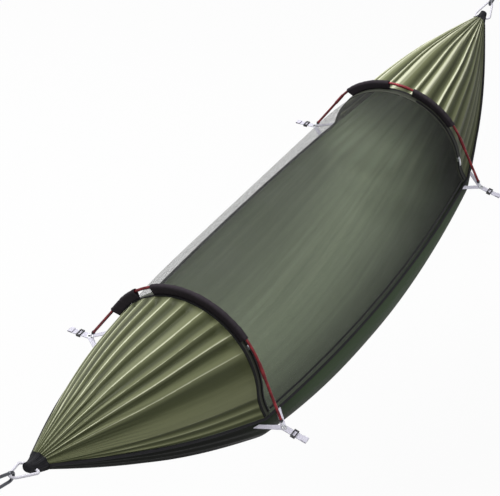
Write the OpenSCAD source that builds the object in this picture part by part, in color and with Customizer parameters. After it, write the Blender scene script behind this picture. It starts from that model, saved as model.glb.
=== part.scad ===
// Camping hammock with a bug net held up by two arch poles.
// X runs from the foot end to the head end, Z is up, the zipped side is -Y.
// The origin lies under the middle of the bed, at its lowest point.

/* [Hammock] */
// Distance between the two gathered ends
gather_span = 2600; // [2300:10:3000]
// Height of the gathered ends above the pole ends
gather_rise = 243; // [180:1:320]
// Depth of the bed below the pole ends
bed_depth = 285; // [220:1:360]
// Radius of the cloth bundle at a gathered end
gather_r = 26; // [22:1:34]
// Thickness of a cloth panel
cloth_t = 2; // [1.6:0.1:2.6]
// How far the rims sag between the arches
rim_sag = 27; // [10:1:45]
// How far the rims bow outwards between the arches
rim_bow = 34; // [22:1:40]
// How far the net sags along its ridge
net_sag = 4; // [0:1:30]
// How far the net stands out from the cover edges between the arches
net_fullness = 16; // [0:1:18]
// Angle by which the bed turns in under its rims
bed_tuck = 15; // [6:1:24]

/* [Covers] */
// Number of folds in each cover
cover_folds = 12; // [8:1:14]
// Height of the cover folds
cover_fold_h = 10; // [4:0.5:14]
// Swell of the covers and rims between arch and gathered end
cover_swell = 22; // [0:1:30]
// How far the rims sag between arch and gathered end
end_sag = 10; // [0:1:16]
// Number of folds in each end of the bed
bed_folds = 8; // [5:1:9]
// Height of the folds in the bed ends
bed_fold_h = 6; // [2:0.5:9]

/* [Arches] */
// Distance between the two arches
arch_spacing = 1350; // [1200:10:1500]
// Distance between the two ends of a pole
pole_chord = 640; // [580:5:700]
// Height of a pole over its ends
pole_rise = 295; // [260:1:330]
// Slope of the straight pole ends
pole_leg_angle = 60; // [56:1:64]
// Lean of the arches towards the middle
arch_lean = 5.5; // [0:0.5:10]
// Outer diameter of the pole tube
pole_d = 8.5; // [7.5:0.1:10]
// Wall of the pole tube
pole_wall = 0.8; // [0.6:0.1:1.2]
// Length of a joint sleeve
ferrule_len = 46; // [30:1:60]
// Wall of a joint sleeve
ferrule_wall = 1; // [0.8:0.1:1.4]
// Diameter of the shock cord
shock_cord_d = 3; // [2:0.1:4]
// Length of a pole end cap
pole_cap_len = 34; // [24:1:44]
// Length of the pin that stands out of an end cap
pole_pin_len = 24; // [18:1:30]
// Diameter of that pin
pole_pin_d = 4.4; // [3.6:0.1:5]

/* [Edges] */
// Depth of the pole sleeves, from pole to cover edge
edge_drop = 25; // [21:0.5:30]
// Width of the cover edge binding on the cover side
edge_outer = 8; // [6:0.5:12]
// Width of the cover edge binding on the net side
edge_inner = 20; // [19:0.5:26]
// Thickness of the edge binding
edge_t = 3; // [2.4:0.1:4]
// Half angle of the round part of the cover edge
edge_angle = 80; // [78:1:83]
// Radius of the flare down to the corners
flare_r = 134; // [110:1:150]
// Angle of that flare
flare_turn = 34; // [28:1:42]
// Radius of the rim hem
hem_r = 4; // [3:0.1:5]
// Inner diameter of a pole sleeve
sleeve_bore = 12; // [11.4:0.1:14]
// Wall of a pole sleeve
sleeve_wall = 1.5; // [1:0.1:2]

/* [Sleeves] */
// Near end of the foot arch's top sleeve, along the pole from its top
foot_top_near = 190; // [160:1:215]
// Far end of that sleeve
foot_top_far = 135; // [110:1:160]
// Upper end of the foot arch's far sleeve
foot_far_high = 196; // [175:1:215]
// Length of that sleeve on the straight leg
foot_far_leg = 41; // [20:1:50]
// Lower end of the head arch's near sleeve
head_near_low = 215; // [190:1:225]
// Upper end of that sleeve
head_near_high = 38; // [32:1:60]
// Upper end of the head arch's far sleeve
head_far_high = 52; // [36:1:80]
// Lower end of that sleeve
head_far_low = 227; // [190:1:230]

/* [Zip] */
// Width of the zip coil
coil_w = 5.2; // [4.4:0.1:6]
// Thickness of the zip coil
coil_t = 2.5; // [2:0.1:3]
// Height of the tape fold under the coil
coil_stem_h = 2; // [1.8:0.1:2.4]
// Highest point of the zip on an arch, from the top
zip_top_angle = 14; // [10:1:24]
// Length of a zip slider
slider_len = 14; // [11:0.5:17]
// Place of the head slider, from the top of the arch
head_slider_angle = 76; // [60:1:77]
// Place of the foot slider, from the top of the arch
foot_slider_angle = 48; // [40:1:56]
// Length of a zip pull
pull_len = 24; // [18:1:30]

/* [Corner straps] */
// Width of the webbing
web_w = 20; // [16:1:25]
// Thickness of the webbing
web_t = 1.8; // [1.4:0.1:2.2]
// Downward slope of the straps
strap_droop = 8; // [4:0.5:12]
// Half distance between the two sewn legs of a strap
strap_spread = 46; // [38:1:54]
// Length of the folded tail beyond the pole end
tail_len = 74; // [64:1:84]
// Inner diameter of a grommet
grommet_bore = 10.4; // [10:0.2:11]
// Outer diameter of a grommet
grommet_d = 18; // [16.5:0.5:19]
// Distance from the pole end to the ladder buckle
buckle_at = 34; // [30:1:38]
// Travel of a ladder buckle each way
buckle_travel = 12; // [6:1:14]

/* [Hanging ends] */
// Upward slope of the hanging line
hang_slope = 24; // [18:1:30]
// Length of the black end channel
channel_len = 52; // [46:1:60]
// Diameter of the hanging loop cord
loop_d = 7; // [6:0.2:8]
// Radius of the loop cord's bends
loop_bend_r = 11; // [10:0.5:13]
// Length of the hanging loop from its channel to the carabiner
loop_len = 54; // [46:1:64]
// Diameter of the carabiner stock
carabiner_d = 8; // [7:0.2:9]
// Bend radius of the carabiner's small end
carabiner_small_r = 12; // [11.5:0.5:14]
// Bend radius of the carabiner's large end
carabiner_large_r = 16; // [15:0.5:19]
// Distance between the two bend centres
carabiner_reach = 50; // [46:1:58]
// Diameter of the gate's hinge pin
gate_pin_d = 2.4; // [2:0.1:2.8]
// Thickness of the tongues in the gate's slots
gate_tongue_t = 3.2; // [2.8:0.1:3.6]
// Number of turns of the gate spring
spring_turns = 6; // [4:1:8]
// Diameter of the spring wire
spring_wire_d = 0.6; // [0.5:0.05:0.7]

/* [Clearances] */
// Gap between sewn neighbours
seam_gap = 0.4; // [0.3:0.1:0.6]
// Gap around parts that slide
slide_gap = 0.4; // [0.3:0.05:0.6]
// Radial clearance of a running pin
pin_gap = 0.06; // [0.03:0.01:0.1]
// Radial clearance of a seated tube or pin
seat_gap = 0.05; // [0.03:0.01:0.1]

/* [Hidden] */
$fn = 48;

foot = -1;
head = 1;
near = -1;
far = 1;

half_span = gather_span / 2;
arch_x = arch_spacing / 2;
half_chord = pole_chord / 2;
tip_z = bed_depth;
gather_z = tip_z + gather_rise;

// Pole curve: a straight leg, a round top and a straight leg
leg_s = sin(pole_leg_angle);
leg_c = cos(pole_leg_angle);
pole_r = (half_chord * leg_s - pole_rise * leg_c) / (leg_s * leg_s - leg_c * (1 - leg_c));
pole_leg = (half_chord - pole_r * leg_s) / leg_c;
pole_arc = 2 * pole_leg_angle * PI / 180 * pole_r;
pole_len = 2 * pole_leg + pole_arc;
pole_centre_z = pole_rise - pole_r;
pole_bore = pole_d - 2 * pole_wall;
ferrule_lap = 8;
ferrule_bore = pole_d + slide_gap;
ferrule_d = ferrule_bore + 2 * ferrule_wall;
sleeve_d = sleeve_bore + 2 * sleeve_wall;

// Pole ends: pin, cap and tube follow each other up the leg from the grommet
pin_below = 7;
cap_start = pole_pin_len - pin_below;
cap_shoulder = 8;
tube_start = cap_start + cap_shoulder;
pole_joints = [tube_start, pole_leg, pole_len / 2, pole_len - pole_leg, pole_len - tube_start];

// Cover edge: a round top about the pole's own centre, flared to the corners
edge_r = pole_r - edge_drop;
flare_len = flare_turn * PI / 180 * flare_r;
round_len = 2 * edge_angle * PI / 180 * edge_r;
edge_len = 2 * flare_len + round_len;
flare_centre = [0, pole_centre_z] + (edge_r + flare_r) * [sin(edge_angle), cos(edge_angle)];
hem_room = hem_r + seam_gap;

function mix(a, b, t) = a + (b - a) * t;
function unit(v) = v / norm(v);
function clamp(t) = min(1, max(0, t));
function flare_pt(turn) = let (a = edge_angle - 90 - turn)
  [flare_r * cos(a) - flare_centre.x, flare_r * sin(a) + flare_centre.y];
function half_edge(s) = s < flare_len
  ? flare_pt(flare_turn * (1 - s / flare_len))
  : let (a = (s - flare_len) / edge_r * 180 / PI - edge_angle)
    [edge_r * sin(a), pole_centre_z + edge_r * cos(a)];
function edge_pt(v) = v <= 0.5
  ? half_edge(v * edge_len)
  : let (p = half_edge((1 - v) * edge_len)) [-p.x, p.y];
// A point of an arch's own plane, n outwards along the hammock
function arch_pt(end, n, p) = [end * (arch_x + n * cos(arch_lean) - p.y * sin(arch_lean)), p.x,
  tip_z + n * sin(arch_lean) + p.y * cos(arch_lean)];

// Rims
cover_n = edge_outer + seam_gap;
net_n = -edge_inner - seam_gap;
corner = arch_pt(head, cover_n, edge_pt(0));
// Share of the swell at each row between a corner and the gathered end, straight from row to row
end_steps = 4;
swell_rows = [for (i = [0:end_steps]) [i / end_steps, sin(180 * i / end_steps)]];
function swell(e) = lookup(e, swell_rows);
function rim_pt(side, x) = let (u = abs(x) / corner.x, e = (abs(x) - corner.x) / (half_span - corner.x))
  u <= 1
    ? [x, side * (-corner.y + rim_bow * (1 - u * u)), corner.z - rim_sag * (1 - u * u)]
    : [x, side * (mix(-corner.y, gather_r, e) + cover_swell * swell(e)),
      mix(corner.z, gather_z, e) - end_sag * swell(e)];

// Bed: a round trough under the rims, gathered into folds at its ends
bed_bottom_end = gather_z - gather_r;
function bed_bottom(x) = bed_bottom_end - (bed_bottom_end - cloth_t / 2) * (1 - pow(abs(x) / half_span, 2));
function bed_tuck_at(x) = bed_tuck * (1 - pow(abs(x) / half_span, 4));
function bed_half_w(x) = rim_pt(far, x).y / cos(bed_tuck_at(x));
function bed_half_h(x) = (rim_pt(far, x).z - bed_bottom(x)) / (1 + sin(bed_tuck_at(x)));
function end_share(x) = clamp((abs(x) - arch_x) / (half_span - arch_x));
function fold_rise(e) = sin(180 * pow(e, 0.7)) + 0.25 * e;
function bed_fold(x, v) = let (e = end_share(x))
  bed_fold_h * fold_rise(e) * sin(180 * v) * (cos(360 * bed_folds * v) - 1) / 2;
function bed_pt(x, v) = let (a = (180 + 2 * bed_tuck_at(x)) * v - bed_tuck_at(x), f = bed_fold(x, v))
  [x, -(bed_half_w(x) + f) * cos(a), bed_bottom(x) + bed_half_h(x) - (bed_half_h(x) + f) * sin(a)];
// Share of the girth that the hem takes up, from a short step in from the rim
edge_step = 0.01;
function trim_for(way, rim, next) = hem_room * edge_step / norm(cross(unit(way), next - rim));
function bed_trim(x) = trim_for(rim_pt(near, x + 1) - rim_pt(near, x - 1), bed_pt(x, 0),
  bed_pt(x, edge_step));
// Height at which the bed's outside lies this far from the middle plane
function bed_y_at(x, z) = bed_half_w(x)
  * cos(asin(max(-1, min(1, (bed_bottom(x) + bed_half_h(x) - z) / bed_half_h(x)))));

// Covers: from the flared edge to a round bundle, with folds that run along
function bundle_pt(v) = [half_span, -gather_r * cos(180 * v), gather_z + gather_r * sin(180 * v)];
function cover_fold(u, v) = cover_fold_h * fold_rise(u) * sin(180 * v)
  * (cos(360 * cover_folds * v) - 1) / 2;
function cover_pt(end, u, v) = let (
    p = mix(arch_pt(head, cover_n, edge_pt(v)), bundle_pt(v), u),
    out = cover_swell * swell(u) + cover_fold(u, v),
    low = end_sag * swell(u) * pow(cos(180 * v), 2))
  [end * p.x, p.y - out * cos(180 * v), p.z + out * sin(180 * v) - low];

function cover_trim(u) = let (x = mix(corner.x, half_span - 1, u))
  trim_for(rim_pt(near, x + 1) - rim_pt(near, x), cover_pt(head, u, 0), cover_pt(head, u, edge_step));

// Net: from arch to arch, a little fuller than the cover edges
function net_pt(u, v) = let (
    p = arch_pt(head, net_n, edge_pt(v)),
    s = 1 - u * u,
    rim = pow(abs(2 * v - 1), 4),
    out = net_fullness * (1 - pow(u, 8)) * pow(1 - rim, 2))
  [u * p.x, p.y + sign(p.y) * rim_bow * s * rim - out * cos(180 * v),
    p.z - s * mix(net_sag, rim_sag, rim) + out * sin(180 * v)];

// A sheet of the given thickness over a grid of points, as closed triangles
module cloth(rows, thickness) {
  nu = len(rows) - 1;
  nv = len(rows[0]) - 1;
  normals = [for (i = [0:nu]) [for (j = [0:nv]) unit(cross(
    rows[min(i + 1, nu)][j] - rows[max(i - 1, 0)][j],
    rows[i][min(j + 1, nv)] - rows[i][max(j - 1, 0)]))]];
  points = [for (face = [1, -1]) for (i = [0:nu]) for (j = [0:nv])
    rows[i][j] + normals[i][j] * face * thickness / 2];
  under = (nu + 1) * (nv + 1);
  function at(i, j) = i * (nv + 1) + j;
  faces = [
    for (i = [0:nu - 1]) for (j = [0:nv - 1])
      let (a = at(i, j), b = at(i + 1, j), c = at(i, j + 1), d = at(i + 1, j + 1))
      each [[a, c, b], [b, c, d], [a + under, b + under, c + under], [b + under, d + under, c + under]],
    for (j = [0:nv - 1])
      let (a = at(0, j), b = at(0, j + 1), c = at(nu, j), d = at(nu, j + 1))
      each [[a, a + under, b + under], [a, b + under, b], [c, d + under, c + under], [c, d, d + under]],
    for (i = [0:nu - 1])
      let (a = at(i, 0), b = at(i + 1, 0), c = at(i, nv), d = at(i + 1, nv))
      each [[a, b, b + under], [a, b + under, a + under], [c, c + under, d + under], [c, d + under, d]]];
  polyhedron(points, faces, convexity = 10);
}

// A closed skin over rings of points: joined up into a loop, or each end closed from its middle
module skin(rings, loop = false) {
  n = len(rings);
  k = len(rings[0]);
  middle = function (ring) [for (p = ring) 1] * ring / k;
  caps = loop ? [] : [middle(rings[0]), middle(rings[n - 1])];
  points = [for (ring = rings) each ring, each caps];
  last = (n - 1) * k;
  faces = [
    for (i = [0:loop ? n - 1 : n - 2]) for (j = [0:k - 1])
      let (next = (j + 1) % k, row = i * k, row_on = (i + 1) % n * k)
      each [[row + j, row_on + j, row + next], [row + next, row_on + j, row_on + next]],
    if (!loop) for (j = [0:k - 1])
      each [[n * k, j, (j + 1) % k], [n * k + 1, last + (j + 1) % k, last + j]]];
  polyhedron(points, faces, convexity = 10);
}
// A ring of points about a point of a flat path, whose outward direction is given
function ring_at(p, out, r, sides) = [for (j = [0:sides - 1]) let (a = 360 * j / sides)
  p + r * (cos(a) * out - sin(a) * [0, 0, 1])];
function round_section(r, sides) = [for (j = [0:sides - 1]) r * [cos(360 * j / sides), sin(360 * j / sides)]];
// A skin of one section along a path of points
module sweep(path, section) {
  n = len(path) - 1;
  skin([for (i = [0:n]) let (
      ahead = unit(path[min(i + 1, n)] - path[max(i - 1, 0)]),
      side = unit(cross([0, 0, 1], ahead)),
      up = cross(ahead, side))
    [for (p = section) path[i] + side * p.x + up * p.y]]);
}

// Cloth

// Places along the hammock where the bed, hems and net have their rows, with one at each corner
rim_steps = 8;
rim_xs = [for (i = [0:rim_steps]) corner.x * (2 * i / rim_steps - 1)];
end_xs = [for (i = [1:end_steps]) mix(corner.x, half_span, i / end_steps)];
bed_xs = [for (i = [1:end_steps]) -end_xs[end_steps - i], each rim_xs, each end_xs];
bed_columns = 4 * bed_folds;
module bed_sheet() {
  color("#3c4a3c")
    cloth([for (x = bed_xs) [for (j = [0:bed_columns])
      bed_pt(x, mix(bed_trim(x), 1 - bed_trim(x), j / bed_columns))]], cloth_t);
}

cover_steps = 8;
cover_columns = 5 * cover_folds;
module cover(end) {
  color("#6b6f4d")
    cloth([for (i = [0:cover_steps]) let (
        u = end > 0 ? i / cover_steps : 1 - i / cover_steps,
        trim = cover_trim(u))
      [for (j = [0:cover_columns]) cover_pt(end, u, mix(1 - trim, trim, j / cover_columns))]], cloth_t);
}
module foot_cover() { cover(foot); }
module head_cover() { cover(head); }

net_columns = 24;
net_trim = (hem_room + seam_gap) / edge_len;
function net_column(j) = mix(net_trim, 1 - net_trim, j / net_columns);
module bug_net() {
  color("#44484a")
    cloth([for (x = rim_xs) [for (j = [net_columns:-1:0]) net_pt(x / corner.x, net_column(j))]], cloth_t);
}

// Hems and bindings

hem_sides = 8;
module rim_hem(side) {
  color("#2b2d2a")
    sweep([for (x = bed_xs) rim_pt(side, x)], round_section(hem_r, hem_sides));
}
module near_rim_hem() { rim_hem(near); }
module far_rim_hem() { rim_hem(far); }

// Stands children in an arch's plane: X outwards along the hammock, Y across, Z up the arch
module at_arch(end) {
  mirror([end < 0 ? 1 : 0, 0, 0])
    translate([arch_x, 0, tip_z])
      rotate([0, -arch_lean, 0])
        children();
}
// Turns a drawing plane into an arch's plane, about the centre of its round top
module in_arch_plane() {
  translate([0, 0, pole_centre_z])
    rotate([90, 0, 90])
      children();
}
// A ring segment about the top's centre, from one angle to another, measured from the far side
module round_run(from, to) {
  rotate([0, 0, from])
    rotate_extrude(angle = to - from, $fn = 180)
      children();
}
// The flare of one side, drawn with its own radius as distance from the axis
module flare_run(side, trim) {
  lap = seat_gap / flare_r * 180 / PI;
  start = side < 0 ? edge_angle - 90 - flare_turn + trim : 270 - edge_angle + lap;
  translate([side * flare_centre.x, flare_centre.y - pole_centre_z, 0])
    rotate([0, 0, start])
      rotate_extrude(angle = flare_turn - trim - lap, $fn = 180)
        children();
}

module edge_binding(end) {
  trim = hem_room / flare_r * 180 / PI;
  width = edge_outer + edge_inner;
  color("#35323a")
    at_arch(end)
      in_arch_plane() {
        round_run(90 - edge_angle, 90 + edge_angle)
          translate([edge_r - edge_t / 2, -edge_inner])
            square([edge_t, width]);
        for (side = [near, far])
          flare_run(side, trim)
            translate([flare_r - edge_t / 2, -edge_inner])
              square([edge_t, width]);
      }
}
module foot_edge_binding() { edge_binding(foot); }
module head_edge_binding() { edge_binding(head); }

// Zip

zip_n = -edge_inner + 6;
coil_seat = edge_t / 2 + seat_gap;
stem_w = 2;
module coil_profile(base, out) {
  translate([base, zip_n]) {
    translate([min(0, out * coil_stem_h), -stem_w / 2])
      square([coil_stem_h, stem_w]);
    translate([out > 0 ? coil_stem_h : -coil_stem_h - coil_t, -coil_w / 2])
      square([coil_t, coil_w]);
  }
}
module arch_zip(end) {
  trim = (hem_room + 6) / flare_r * 180 / PI;
  color("#1f1f22")
    at_arch(end)
      in_arch_plane() {
        round_run(90 + zip_top_angle, 90 + edge_angle)
          coil_profile(edge_r + coil_seat, 1);
        flare_run(near, trim)
          coil_profile(flare_r - coil_seat, -1);
      }
}
module foot_arch_zip() { arch_zip(foot); }
module head_arch_zip() { arch_zip(head); }

// The rim's zip lies on the net's lowest facets, this share of the way up them
rim_zip_share = 0.3;
rim_zip_end = 6;
module rim_zip() {
  lift = cloth_t / 2 + seam_gap + coil_t / 2;
  reach = 1 - rim_zip_end / corner.x;
  color("#1f1f22")
    skin([for (x = rim_xs) let (
        u = max(-reach, min(reach, x / corner.x)),
        low = net_pt(u, net_column(0)),
        high = net_pt(u, net_column(1)),
        up = unit([0, high.y - low.y, high.z - low.z]),
        out = [0, -up.z, up.y],
        middle = mix(low, high, rim_zip_share) + lift * out)
      [for (p = [[1, -1], [1, 1], [-1, 1], [-1, -1]])
        middle + p.x * coil_w / 2 * up + p.y * coil_t / 2 * out]]);
}

slider_wall = 1.6;
slider_lip = 1.1;
slider_in = coil_w / 2 + slide_gap;
slider_out = slider_in + slider_wall;
slider_top = edge_r + coil_seat + coil_stem_h + coil_t + slide_gap;
slider_turn = slider_len / edge_r * 180 / PI;
ear_w = 3.6;
ear_h = 4;
pull_pin_d = 1.8;
pull_axis_r = slider_top + slider_wall + ear_h / 2;
// Stands children on an arch's zip: X outwards from the coil, Y down the zip, Z along the hammock
module on_zip(end, angle) {
  at_arch(end)
    in_arch_plane()
      rotate([0, 0, 90 + angle])
        children();
}
module zip_slider(end, angle) {
  lip_top = edge_r + coil_seat + coil_stem_h - slide_gap;
  color("#c9c9cc")
    on_zip(end, angle)
      difference() {
        union() {
          round_run(-slider_turn / 2, slider_turn / 2)
            translate([0, zip_n])
              difference() {
                translate([lip_top - slider_lip, -slider_out])
                  square([slider_top + slider_wall - lip_top + slider_lip, 2 * slider_out]);
                translate([lip_top, -slider_in])
                  square([slider_top - lip_top, 2 * slider_in]);
                translate([lip_top - 2 * slider_lip, -stem_w / 2 - slide_gap])
                  square([3 * slider_lip, stem_w + 2 * slide_gap]);
              }
          translate([slider_top + slider_wall / 2, -ear_h / 2, zip_n - ear_w / 2])
            cube([ear_h + slider_wall / 2, ear_h, ear_w]);
        }
        translate([pull_axis_r, 0, zip_n - ear_w])
          cylinder(d = pull_pin_d + 2 * pin_gap, h = 2 * ear_w);
      }
}
module foot_zip_slider() { zip_slider(foot, foot_slider_angle); }
module head_zip_slider() { zip_slider(head, head_slider_angle); }

pull_t = 1.6;
pull_w = 9;
module zip_pull(end, angle) {
  fork = ear_w + 2 * slide_gap;
  color("#d8d8da")
    on_zip(end, angle)
      translate([pull_axis_r, 0, zip_n]) {
        cylinder(d = pull_pin_d, h = pull_w - 1, center = true);
        rotate([0, 90, 0])
          linear_extrude(pull_t, center = true)
            difference() {
              union() {
                translate([-pull_w / 2, 0])
                  square([pull_w, pull_len - pull_w / 2]);
                translate([0, pull_len - pull_w / 2])
                  circle(d = pull_w);
              }
              translate([-fork / 2, -1])
                square([fork, 1 + ear_h]);
              translate([0, pull_len - pull_w / 2])
                circle(d = pull_w / 2);
            }
      }
}
module foot_zip_pull() { zip_pull(foot, foot_slider_angle); }
module head_zip_pull() { zip_pull(head, head_slider_angle); }

// Poles

// Stands children on the near pole end, Z up the straight leg
module along_leg() {
  translate([0, -half_chord, 0])
    rotate([pole_leg_angle - 90, 0, 0])
      children();
}
// Turns a profile about the top's centre, along the pole's round part from one length to another
module arc_run(from, to) {
  in_arch_plane()
    rotate([0, 0, 90 + pole_leg_angle - (to - pole_leg) / pole_r * 180 / PI])
      rotate_extrude(angle = (to - from) / pole_r * 180 / PI, $fn = 180)
        children();
}
// Draws a round profile along the pole, within one leg or within the round part
module pole_run(from, to) {
  if (to <= pole_leg)
    along_leg()
      translate([0, 0, from])
        linear_extrude(to - from)
          children();
  else if (from >= pole_leg + pole_arc)
    mirror([0, 1, 0])
      along_leg()
        translate([0, 0, pole_len - to])
          linear_extrude(to - from)
            children();
  else
    arc_run(from, to)
      translate([pole_r, 0])
        children();
}
// The pole's middle line
function half_pole(s) = s < pole_leg
  ? [-half_chord + s * leg_c, s * leg_s]
  : let (a = (s - pole_leg) / pole_r * 180 / PI - pole_leg_angle)
    [pole_r * sin(a), pole_centre_z + pole_r * cos(a)];
function pole_pt(s) = s <= pole_len / 2 ? half_pole(s) : let (p = half_pole(pole_len - s)) [-p.x, p.y];
module ring(outer, inner) {
  difference() {
    circle(d = outer);
    circle(d = inner);
  }
}
module pole_section(end, index) {
  color("#7a1c22")
    at_arch(end)
      pole_run(pole_joints[index] + seat_gap, pole_joints[index + 1] - seat_gap)
        ring(pole_d, pole_bore);
}
module foot_pole_near_end() { pole_section(foot, 0); }
module foot_pole_near_middle() { pole_section(foot, 1); }
module foot_pole_far_middle() { pole_section(foot, 2); }
module foot_pole_far_end() { pole_section(foot, 3); }
module head_pole_near_end() { pole_section(head, 0); }
module head_pole_near_middle() { pole_section(head, 1); }
module head_pole_far_middle() { pole_section(head, 2); }
module head_pole_far_end() { pole_section(head, 3); }

// Places children at both ends of a pole, Z up the leg from the grommet
module at_pole_ends(end) {
  at_arch(end)
    for (side = [near, far])
      mirror([0, side > 0 ? 1 : 0, 0])
        along_leg()
          children();
}
module pole_ferrules(end) {
  color("#202022")
    at_arch(end)
      pole_run((pole_len - ferrule_len) / 2, (pole_len + ferrule_len) / 2)
        ring(ferrule_d, ferrule_bore);
  color("#202022")
    at_pole_ends(end)
      translate([0, 0, pole_leg - ferrule_len + ferrule_lap])
        linear_extrude(ferrule_len)
          ring(ferrule_d, ferrule_bore);
}
module foot_pole_ferrules() { pole_ferrules(foot); }
module head_pole_ferrules() { pole_ferrules(head); }

cap_d = pole_d + 2.4;
cap_inside = pole_cap_len - cap_shoulder;
module pole_caps(end) {
  plug_d = pole_bore - 2 * seat_gap;
  color("#19191b")
    at_pole_ends(end)
      translate([0, 0, cap_start])
        difference() {
          union() {
            cylinder(d1 = pole_pin_d + 3, d2 = cap_d, h = cap_shoulder / 2);
            translate([0, 0, cap_shoulder / 2])
              cylinder(d = cap_d, h = cap_shoulder / 2 - seat_gap);
            cylinder(d = plug_d, h = pole_cap_len);
          }
          translate([0, 0, -1])
            cylinder(d = pole_pin_d + 2 * seat_gap, h = cap_shoulder + 7);
        }
}
module foot_pole_caps() { pole_caps(foot); }
module head_pole_caps() { pole_caps(head); }

module pole_pins(end) {
  color("#c4c6c9")
    at_pole_ends(end) {
      translate([0, 0, -pin_below + 1])
        cylinder(d = pole_pin_d, h = pole_pin_len + cap_shoulder + 5 - 1);
      translate([0, 0, -pin_below])
        cylinder(d1 = pole_pin_d - 1.6, d2 = pole_pin_d, h = 1);
    }
}
module foot_pole_pins() { pole_pins(foot); }
module head_pole_pins() { pole_pins(head); }

cord_steps = 24;
cord_sides = 8;
module shock_cord(end) {
  plug_end = cap_start + pole_cap_len + seat_gap;
  lengths = [plug_end, for (i = [0:cord_steps]) pole_leg + pole_arc * i / cord_steps,
    pole_len - plug_end];
  color("#2a2a2c")
    sweep([for (s = lengths) arch_pt(end, 0, pole_pt(s))], round_section(shock_cord_d / 2, cord_sides));
}
module foot_shock_cord() { shock_cord(foot); }
module head_shock_cord() { shock_cord(head); }

// Pole sleeves: a tunnel for the pole, with a flap down to the cover's edge
flap_from = edge_r + edge_t / 2 + seat_gap;
flap_depth = sleeve_bore / 2 + sleeve_wall / 2;
// Sleeve of a pole's round part, from one length past the top to another
module round_sleeve(from, to) {
  arc_run(pole_len / 2 + from, pole_len / 2 + to)
    difference() {
      union() {
        translate([pole_r, 0])
          circle(d = sleeve_d);
        translate([flap_from, -cloth_t / 2])
          square([pole_r - flap_from, cloth_t]);
      }
      translate([pole_r, 0])
        circle(d = sleeve_bore);
    }
}
// Sleeve of the far leg, down to a length past the end of the round part
module leg_sleeve(to) {
  pole_run(pole_leg + pole_arc + seat_gap, pole_leg + pole_arc + to)
    ring(sleeve_d, sleeve_bore);
  in_arch_plane()
    linear_extrude(cloth_t, center = true)
      difference() {
        rotate(-pole_leg_angle)
          translate([seat_gap, 0])
            square([to - seat_gap, pole_r - flap_depth]);
        circle(r = flap_from, $fn = 180);
      }
}
module foot_top_sleeve() {
  color("#35323a")
    at_arch(foot)
      round_sleeve(-foot_top_near, foot_top_far);
}
module foot_far_sleeve() {
  color("#35323a")
    at_arch(foot) {
      round_sleeve(foot_far_high, pole_arc / 2 - seat_gap);
      leg_sleeve(foot_far_leg);
    }
}
module head_near_sleeve() {
  color("#35323a")
    at_arch(head)
      round_sleeve(-head_near_low, -head_near_high);
}
module head_far_sleeve() {
  color("#35323a")
    at_arch(head)
      round_sleeve(head_far_high, head_far_low);
}

// Corner straps

// Places children at a pole end: X along the hammock, Y outwards down the strap, Z up from it
module at_corner(end, side) {
  mirror([end < 0 ? 1 : 0, 0, 0])
    mirror([0, side < 0 ? 1 : 0, 0])
      translate([arch_x, half_chord, tip_z])
        rotate([-strap_droop, 0, 0])
          children();
}
// Length of a sewn leg, measured in from the pole end to the bed's outside
function leg_reach(dx) = let (
    x = arch_x + dx,
    z = tip_z + (half_chord + corner.y) * tan(strap_droop),
    bed_y = bed_y_at(x, min(z, rim_pt(far, x).z - hem_r)) + cloth_t / 2,
    hem_y = rim_pt(far, x).y + hem_r)
  (half_chord - max(bed_y, hem_y) - seam_gap) / cos(strap_droop);
module strap_leg(dx) {
  inner = dx - web_w / 2;
  outer = dx + web_w / 2;
  polygon([[inner, -leg_reach(inner)], [outer, -leg_reach(outer)], [web_w / 2, 0], [-web_w / 2, 0]]);
}
fold_r = web_t + 0.6;
module strap(end, side) {
  color("#d9d7e2")
    at_corner(end, side) {
      linear_extrude(web_t, center = true)
        difference() {
          union() {
            for (dx = [-strap_spread, strap_spread])
              strap_leg(dx);
            circle(d = web_w);
            translate([-web_w / 2, 0])
              square([web_w, tail_len - fold_r]);
          }
          circle(d = grommet_d - 5);
        }
      translate([0, tail_len - fold_r, fold_r - web_t / 2])
        rotate([90, 0, 90])
          rotate([0, 0, -90])
            rotate_extrude(angle = 180)
              translate([fold_r - web_t, -web_w / 2])
                square([web_t, web_w]);
      translate([-web_w / 2, buckle_at + buckle_travel + 12, 2 * fold_r - 1.5 * web_t])
        cube([web_w, tail_len - fold_r - buckle_at - buckle_travel - 12, web_t]);
    }
}
module foot_near_strap() { strap(foot, near); }
module foot_far_strap() { strap(foot, far); }
module head_near_strap() { strap(head, near); }
module head_far_strap() { strap(head, far); }

// A grommet: a tube through the webbing with a rolled rim above and a washer below
module grommet(end, side) {
  neck_r = grommet_d / 2 - 2.5 - seat_gap;
  rim_z = web_t / 2 + seat_gap;
  color("#b9b6ae")
    at_corner(end, side)
      rotate_extrude()
        polygon([[grommet_bore / 2, -rim_z - 1], [grommet_d / 2, -rim_z - 1], [grommet_d / 2, -rim_z],
          [neck_r, -rim_z], [neck_r, rim_z], [grommet_d / 2, rim_z], [grommet_d / 2 - 0.6, rim_z + 1],
          [grommet_bore / 2 + 0.6, rim_z + 1], [grommet_bore / 2, rim_z]]);
}
module foot_near_grommet() { grommet(foot, near); }
module foot_far_grommet() { grommet(foot, far); }
module head_near_grommet() { grommet(head, near); }
module head_far_grommet() { grommet(head, far); }

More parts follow.
